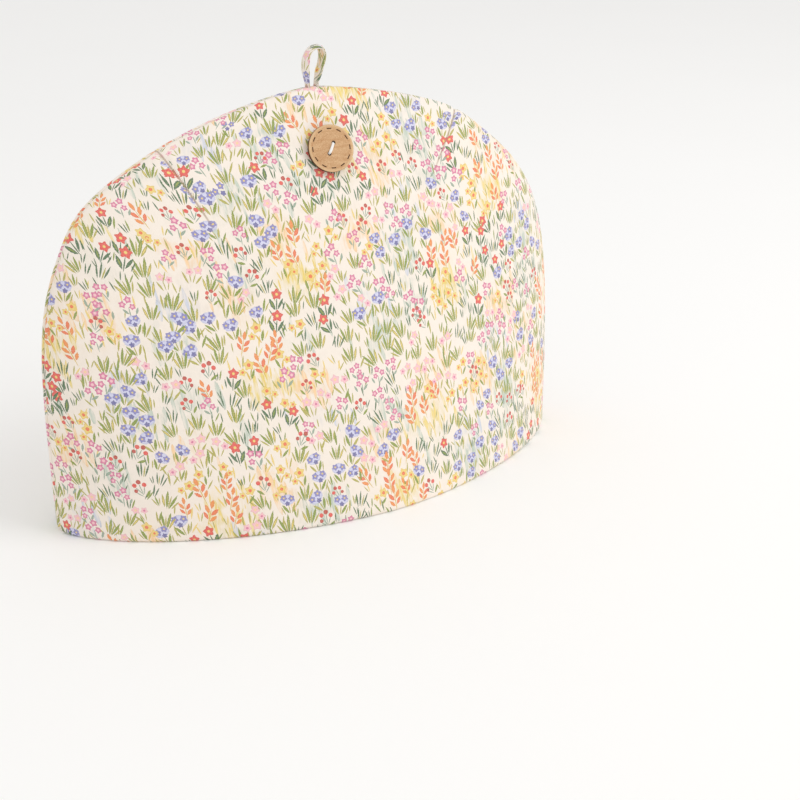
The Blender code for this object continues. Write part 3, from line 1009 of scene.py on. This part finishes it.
def disc_skin(line, turn):
    """A disc's skin from the middle of its face, over the rounded rim, to the middle of its
    back. line is the length along that profile; the dashes are sunk into the face."""
    bend = np.clip((line - FACE_RADIUS) / BUTTON_EDGE, 0, math.pi / 2)
    back_bend = (line - FACE_RADIUS - RIM_ARC - SIDE_HEIGHT) / BUTTON_EDGE
    back_bend = np.clip(back_bend, 0, math.pi / 2)
    down = np.clip(line - FACE_RADIUS - RIM_ARC, 0, SIDE_HEIGHT)
    home = np.clip(line - FACE_RADIUS - 2 * RIM_ARC - SIDE_HEIGHT, 0, FACE_RADIUS)
    radius = np.minimum(line, FACE_RADIUS) - home
    radius = radius + BUTTON_EDGE * (np.sin(bend) - 1 + np.cos(back_bend))
    height = BUTTON_THICK / 2 - BUTTON_EDGE * (1 - np.cos(bend)) - down
    height = height - BUTTON_EDGE * np.sin(back_bend)
    step = 2 * math.pi / DASHES
    along = np.abs((turn - DASH_FIRST + step / 2) % step - step / 2) * DASH_RING
    ends = 1 - smooth_step(along, DASH_LENGTH / 2 - 1.5 * DASH_SOFT, DASH_LENGTH / 2)
    off = np.abs(line - DASH_RING)
    sides = 1 - smooth_step(off, DASH_WIDTH / 2 - DASH_SOFT, DASH_WIDTH / 2)
    height = height - DASH_DEPTH * ends * sides * (line < FACE_RADIUS)
    return np.stack([radius * np.cos(turn), radius * np.sin(turn), height], axis=-1)


ring_half = DASH_WIDTH / 2 + DASH_SOFT
back = FACE_RADIUS + RIM_ARC + SIDE_HEIGHT
lines = np.concatenate(
    [
        np.linspace(BUTTON_MIDDLE_RING, DASH_RING - ring_half, 8, endpoint=False),
        np.linspace(DASH_RING - ring_half, DASH_RING + ring_half, 13),
        np.linspace(DASH_RING + ring_half, FACE_RADIUS, 4)[1:],
        FACE_RADIUS + np.linspace(0, RIM_ARC, 6)[1:],
        FACE_RADIUS + RIM_ARC + np.linspace(0, SIDE_HEIGHT, 3)[1:],
        back + np.linspace(0, RIM_ARC, 5)[1:],
        back + RIM_ARC + np.linspace(0, FACE_RADIUS - BUTTON_MIDDLE_RING, 5)[1:],
    ]
)
turns = np.linspace(0, 2 * math.pi, BUTTON_COLUMNS + 1)
line, turn = np.meshgrid(lines, turns, indexing="ij")
rings = disc_skin(line, turn)
poles = np.array([[0, 0, BUTTON_THICK / 2], [0, 0, -BUTTON_THICK / 2]])
points = np.concatenate([rings.reshape(-1, 3), poles])
count = BUTTON_COLUMNS + 1
last = (len(lines) - 1) * count
fans = [(len(points) - 2, k, k + 1) for k in range(BUTTON_COLUMNS)]
fans += [(len(points) - 1, last + k + 1, last + k) for k in range(BUTTON_COLUMNS)]
faces = grid_faces(len(lines), count)[:, ::-1].tolist() + fans
disc = new_object("wood_button", points, faces)
close_up(disc)
for sign in (-1, 1):
    centre = Vector((math.cos(HOLE_LINE), math.sin(HOLE_LINE), 0)) * HOLE_SPACING / 2 * sign
    bpy.ops.mesh.primitive_cylinder_add(
        vertices=48, radius=HOLE_RADIUS, depth=3 * BUTTON_THICK, location=centre
    )
    drill = bpy.context.object
    cut = disc.modifiers.new("hole", "BOOLEAN")
    cut.operation = "DIFFERENCE"
    cut.solver = "EXACT"
    cut.object = drill
    evaluated = disc.evaluated_get(bpy.context.evaluated_depsgraph_get())
    drilled = bpy.data.meshes.new_from_object(evaluated)
    disc.modifiers.clear()
    disc.data = drilled
    bpy.data.objects.remove(drill)
disc.data.transform(button_place)
disc.data.shade_smooth()

# Light hardwood, sanded and unfinished: matt, with fine short fibre marks along the grain.
wood, shader, tree = new_material("sanded_scorched_wood")
place = add(tree, "TexCoord")
local = add(
    tree,
    "Mapping",
    {
        "Vector": place.outputs["Object"],
        "Location": button_place.translation,
        "Rotation": button_place.to_euler(),
    },
    vector_type="TEXTURE",
)
spread = add(tree, "Mapping", {"Vector": local, "Scale": (900, 2600, 900)})
fibre = add(tree, "TexNoise", {"Vector": spread, "Scale": 1.0, "Detail": 3.0})
speck = add(tree, "TexNoise", {"Vector": local, "Scale": 2600.0, "Detail": 2.0})
band = add(tree, "Mapping", {"Vector": local, "Scale": (90, 480, 90)})
grain = add(tree, "TexNoise", {"Vector": band, "Scale": 1.0, "Detail": 4.0})
mixed = add(tree, "Math", {0: fibre, 1: speck}, operation="ADD")
mixed = add(tree, "Math", {0: mixed, 1: grain}, operation="ADD")
shade = add(tree, "MapRange", {"Value": mixed, "From Min": 1.15, "From Max": 1.85})
wood_tone = add(
    tree,
    "Mix",
    {0: shade, 6: linear(WOOD_DARK), 7: linear(WOOD_LIGHT)},
    data_type="RGBA",
)
parts = add(tree, "SeparateXYZ", {0: local})
level = add(tree, "CombineXYZ", {0: parts.outputs["X"], 1: parts.outputs["Y"]})
reach = add(tree, "VectorMath", {0: level}, operation="LENGTH").outputs["Value"]
sunk = add(
    tree,
    "MapRange",
    {
        "Value": parts.outputs["Z"],
        "From Min": BUTTON_THICK / 2 - 0.00022,
        "From Max": BUTTON_THICK / 2 - 0.00006,
        "To Min": 1.0,
        "To Max": 0.0,
    },
)
inboard = add(tree, "Math", {0: reach, 1: FACE_RADIUS - 0.0002}, operation="LESS_THAN")
burnt = add(tree, "Math", {0: sunk, 1: inboard}, operation="MULTIPLY")
charred_side = add(
    tree,
    "MapRange",
    {"Value": reach, "From Min": BUTTON_RADIUS - 0.00016, "From Max": BUTTON_RADIUS - 0.00002},
)
# Painted highlight: a lighter band on the face just inside its rounded outer edge.
rim = add(
    tree,
    "MapRange",
    {"Value": reach, "From Min": 0.0110, "From Max": 0.0117, "To Min": 0.0, "To Max": 0.45},
)
rim_highlighted = add(tree, "Mix", {0: rim, 6: wood_tone.outputs[2], 7: linear(WOOD_RIM_HIGHLIGHT)}, data_type="RGBA")
scorch = add(tree, "Math", {0: burnt, 1: charred_side}, operation="MAXIMUM")
face_colour = add(
    tree,
    "Mix",
    {0: scorch, 6: rim_highlighted.outputs[2], 7: linear(SCORCHED)},
    data_type="RGBA",
)
tree.links.new(face_colour.outputs[2], shader.inputs["Base Color"])
tooth = add(tree, "Bump", {"Height": mixed, "Strength": 0.4, "Distance": 0.00008})
tree.links.new(tooth.outputs[0], shader.inputs["Normal"])
shader.inputs["Roughness"].default_value = 0.72
shader.inputs["Specular IOR Level"].default_value = 0.35
disc.data.materials.append(wood)
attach(disc, "root")
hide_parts("button")


# --- Button thread -----------------------------------------------------------
# White sewing thread, doubled and doubled again: one stitch over the face of the button,
# from hole to hole and on into the cloth.
THREAD_RADIUS = 0.00034
THREAD_BUNDLE = 0.00042
THREAD_ARCH = 0.00066
THREAD_TWIST = math.radians(200)
STRANDS = 4
THREAD_WHITE = "#f4f2ee"
THREAD_STEPS, THREAD_AROUND = 72, 14


def strand_skin(share, turn, phase):
    """One strand: a tube round a line that winds slowly round the stitch's middle line.

    The middle line is the upper half of a squared ellipse, |x/a|^2.5 + |z/b|^2.5 = 1, that
    stands on the button's back.
    """
    angle = math.pi * (1 - share)
    cosine, sine = np.cos(angle), np.sin(angle)
    half, height = HOLE_SPACING / 2, BUTTON_THICK + THREAD_ARCH
    x = half * np.sign(cosine) * np.abs(cosine) ** 0.8
    z = height * np.abs(sine) ** 0.42 - BUTTON_THICK / 2
    dx, dz = np.gradient(x, axis=0), np.gradient(z, axis=0)
    length = np.maximum(np.hypot(dx, dz), 1e-9)
    normal_x, normal_z = -dz / length, dx / length
    wind = phase + THREAD_TWIST * share
    lift = 0.6 * THREAD_BUNDLE * np.sin(wind) + THREAD_RADIUS * np.sin(turn)
    y = THREAD_BUNDLE * np.cos(wind) + THREAD_RADIUS * np.cos(turn)
    return np.stack([x + normal_x * lift, y, z + normal_z * lift], axis=-1)


share, turn = np.meshgrid(
    np.linspace(0.0, 1.0, THREAD_STEPS + 1),
    np.linspace(0, 2 * math.pi, THREAD_AROUND + 1),
    indexing="ij",
)
points, faces = [], []
for strand in range(STRANDS):
    first = len(points) * share.size
    points.append(strand_skin(share, turn, 2 * math.pi * strand / STRANDS).reshape(-1, 3))
    faces += grid_faces(THREAD_STEPS + 1, THREAD_AROUND + 1, first=first).tolist()
    ring = first + np.arange(THREAD_AROUND)
    faces += [ring.tolist(), (ring + THREAD_STEPS * (THREAD_AROUND + 1)).tolist()]
thread = new_object("white_thread", np.concatenate(points), faces)
thread.data.transform(button_place @ Matrix.Rotation(HOLE_LINE, 4, "Z"))
close_up(thread)

# Spun sewing thread: white, matt, with the fine ridges of its ply.
plies, shader, tree = new_material("white_sewing_thread")
place = add(tree, "TexCoord")
ridges = add(tree, "TexNoise", {"Vector": place.outputs["Object"], "Scale": 5200.0})
bump = add(tree, "Bump", {"Height": ridges, "Strength": 0.5, "Distance": 0.00005})
tree.links.new(bump.outputs[0], shader.inputs["Normal"])
shader.inputs["Base Color"].default_value = linear(THREAD_WHITE)
shader.inputs["Roughness"].default_value = 0.7
thread.data.materials.append(plies)
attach(thread, "root")
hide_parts("button_thread")
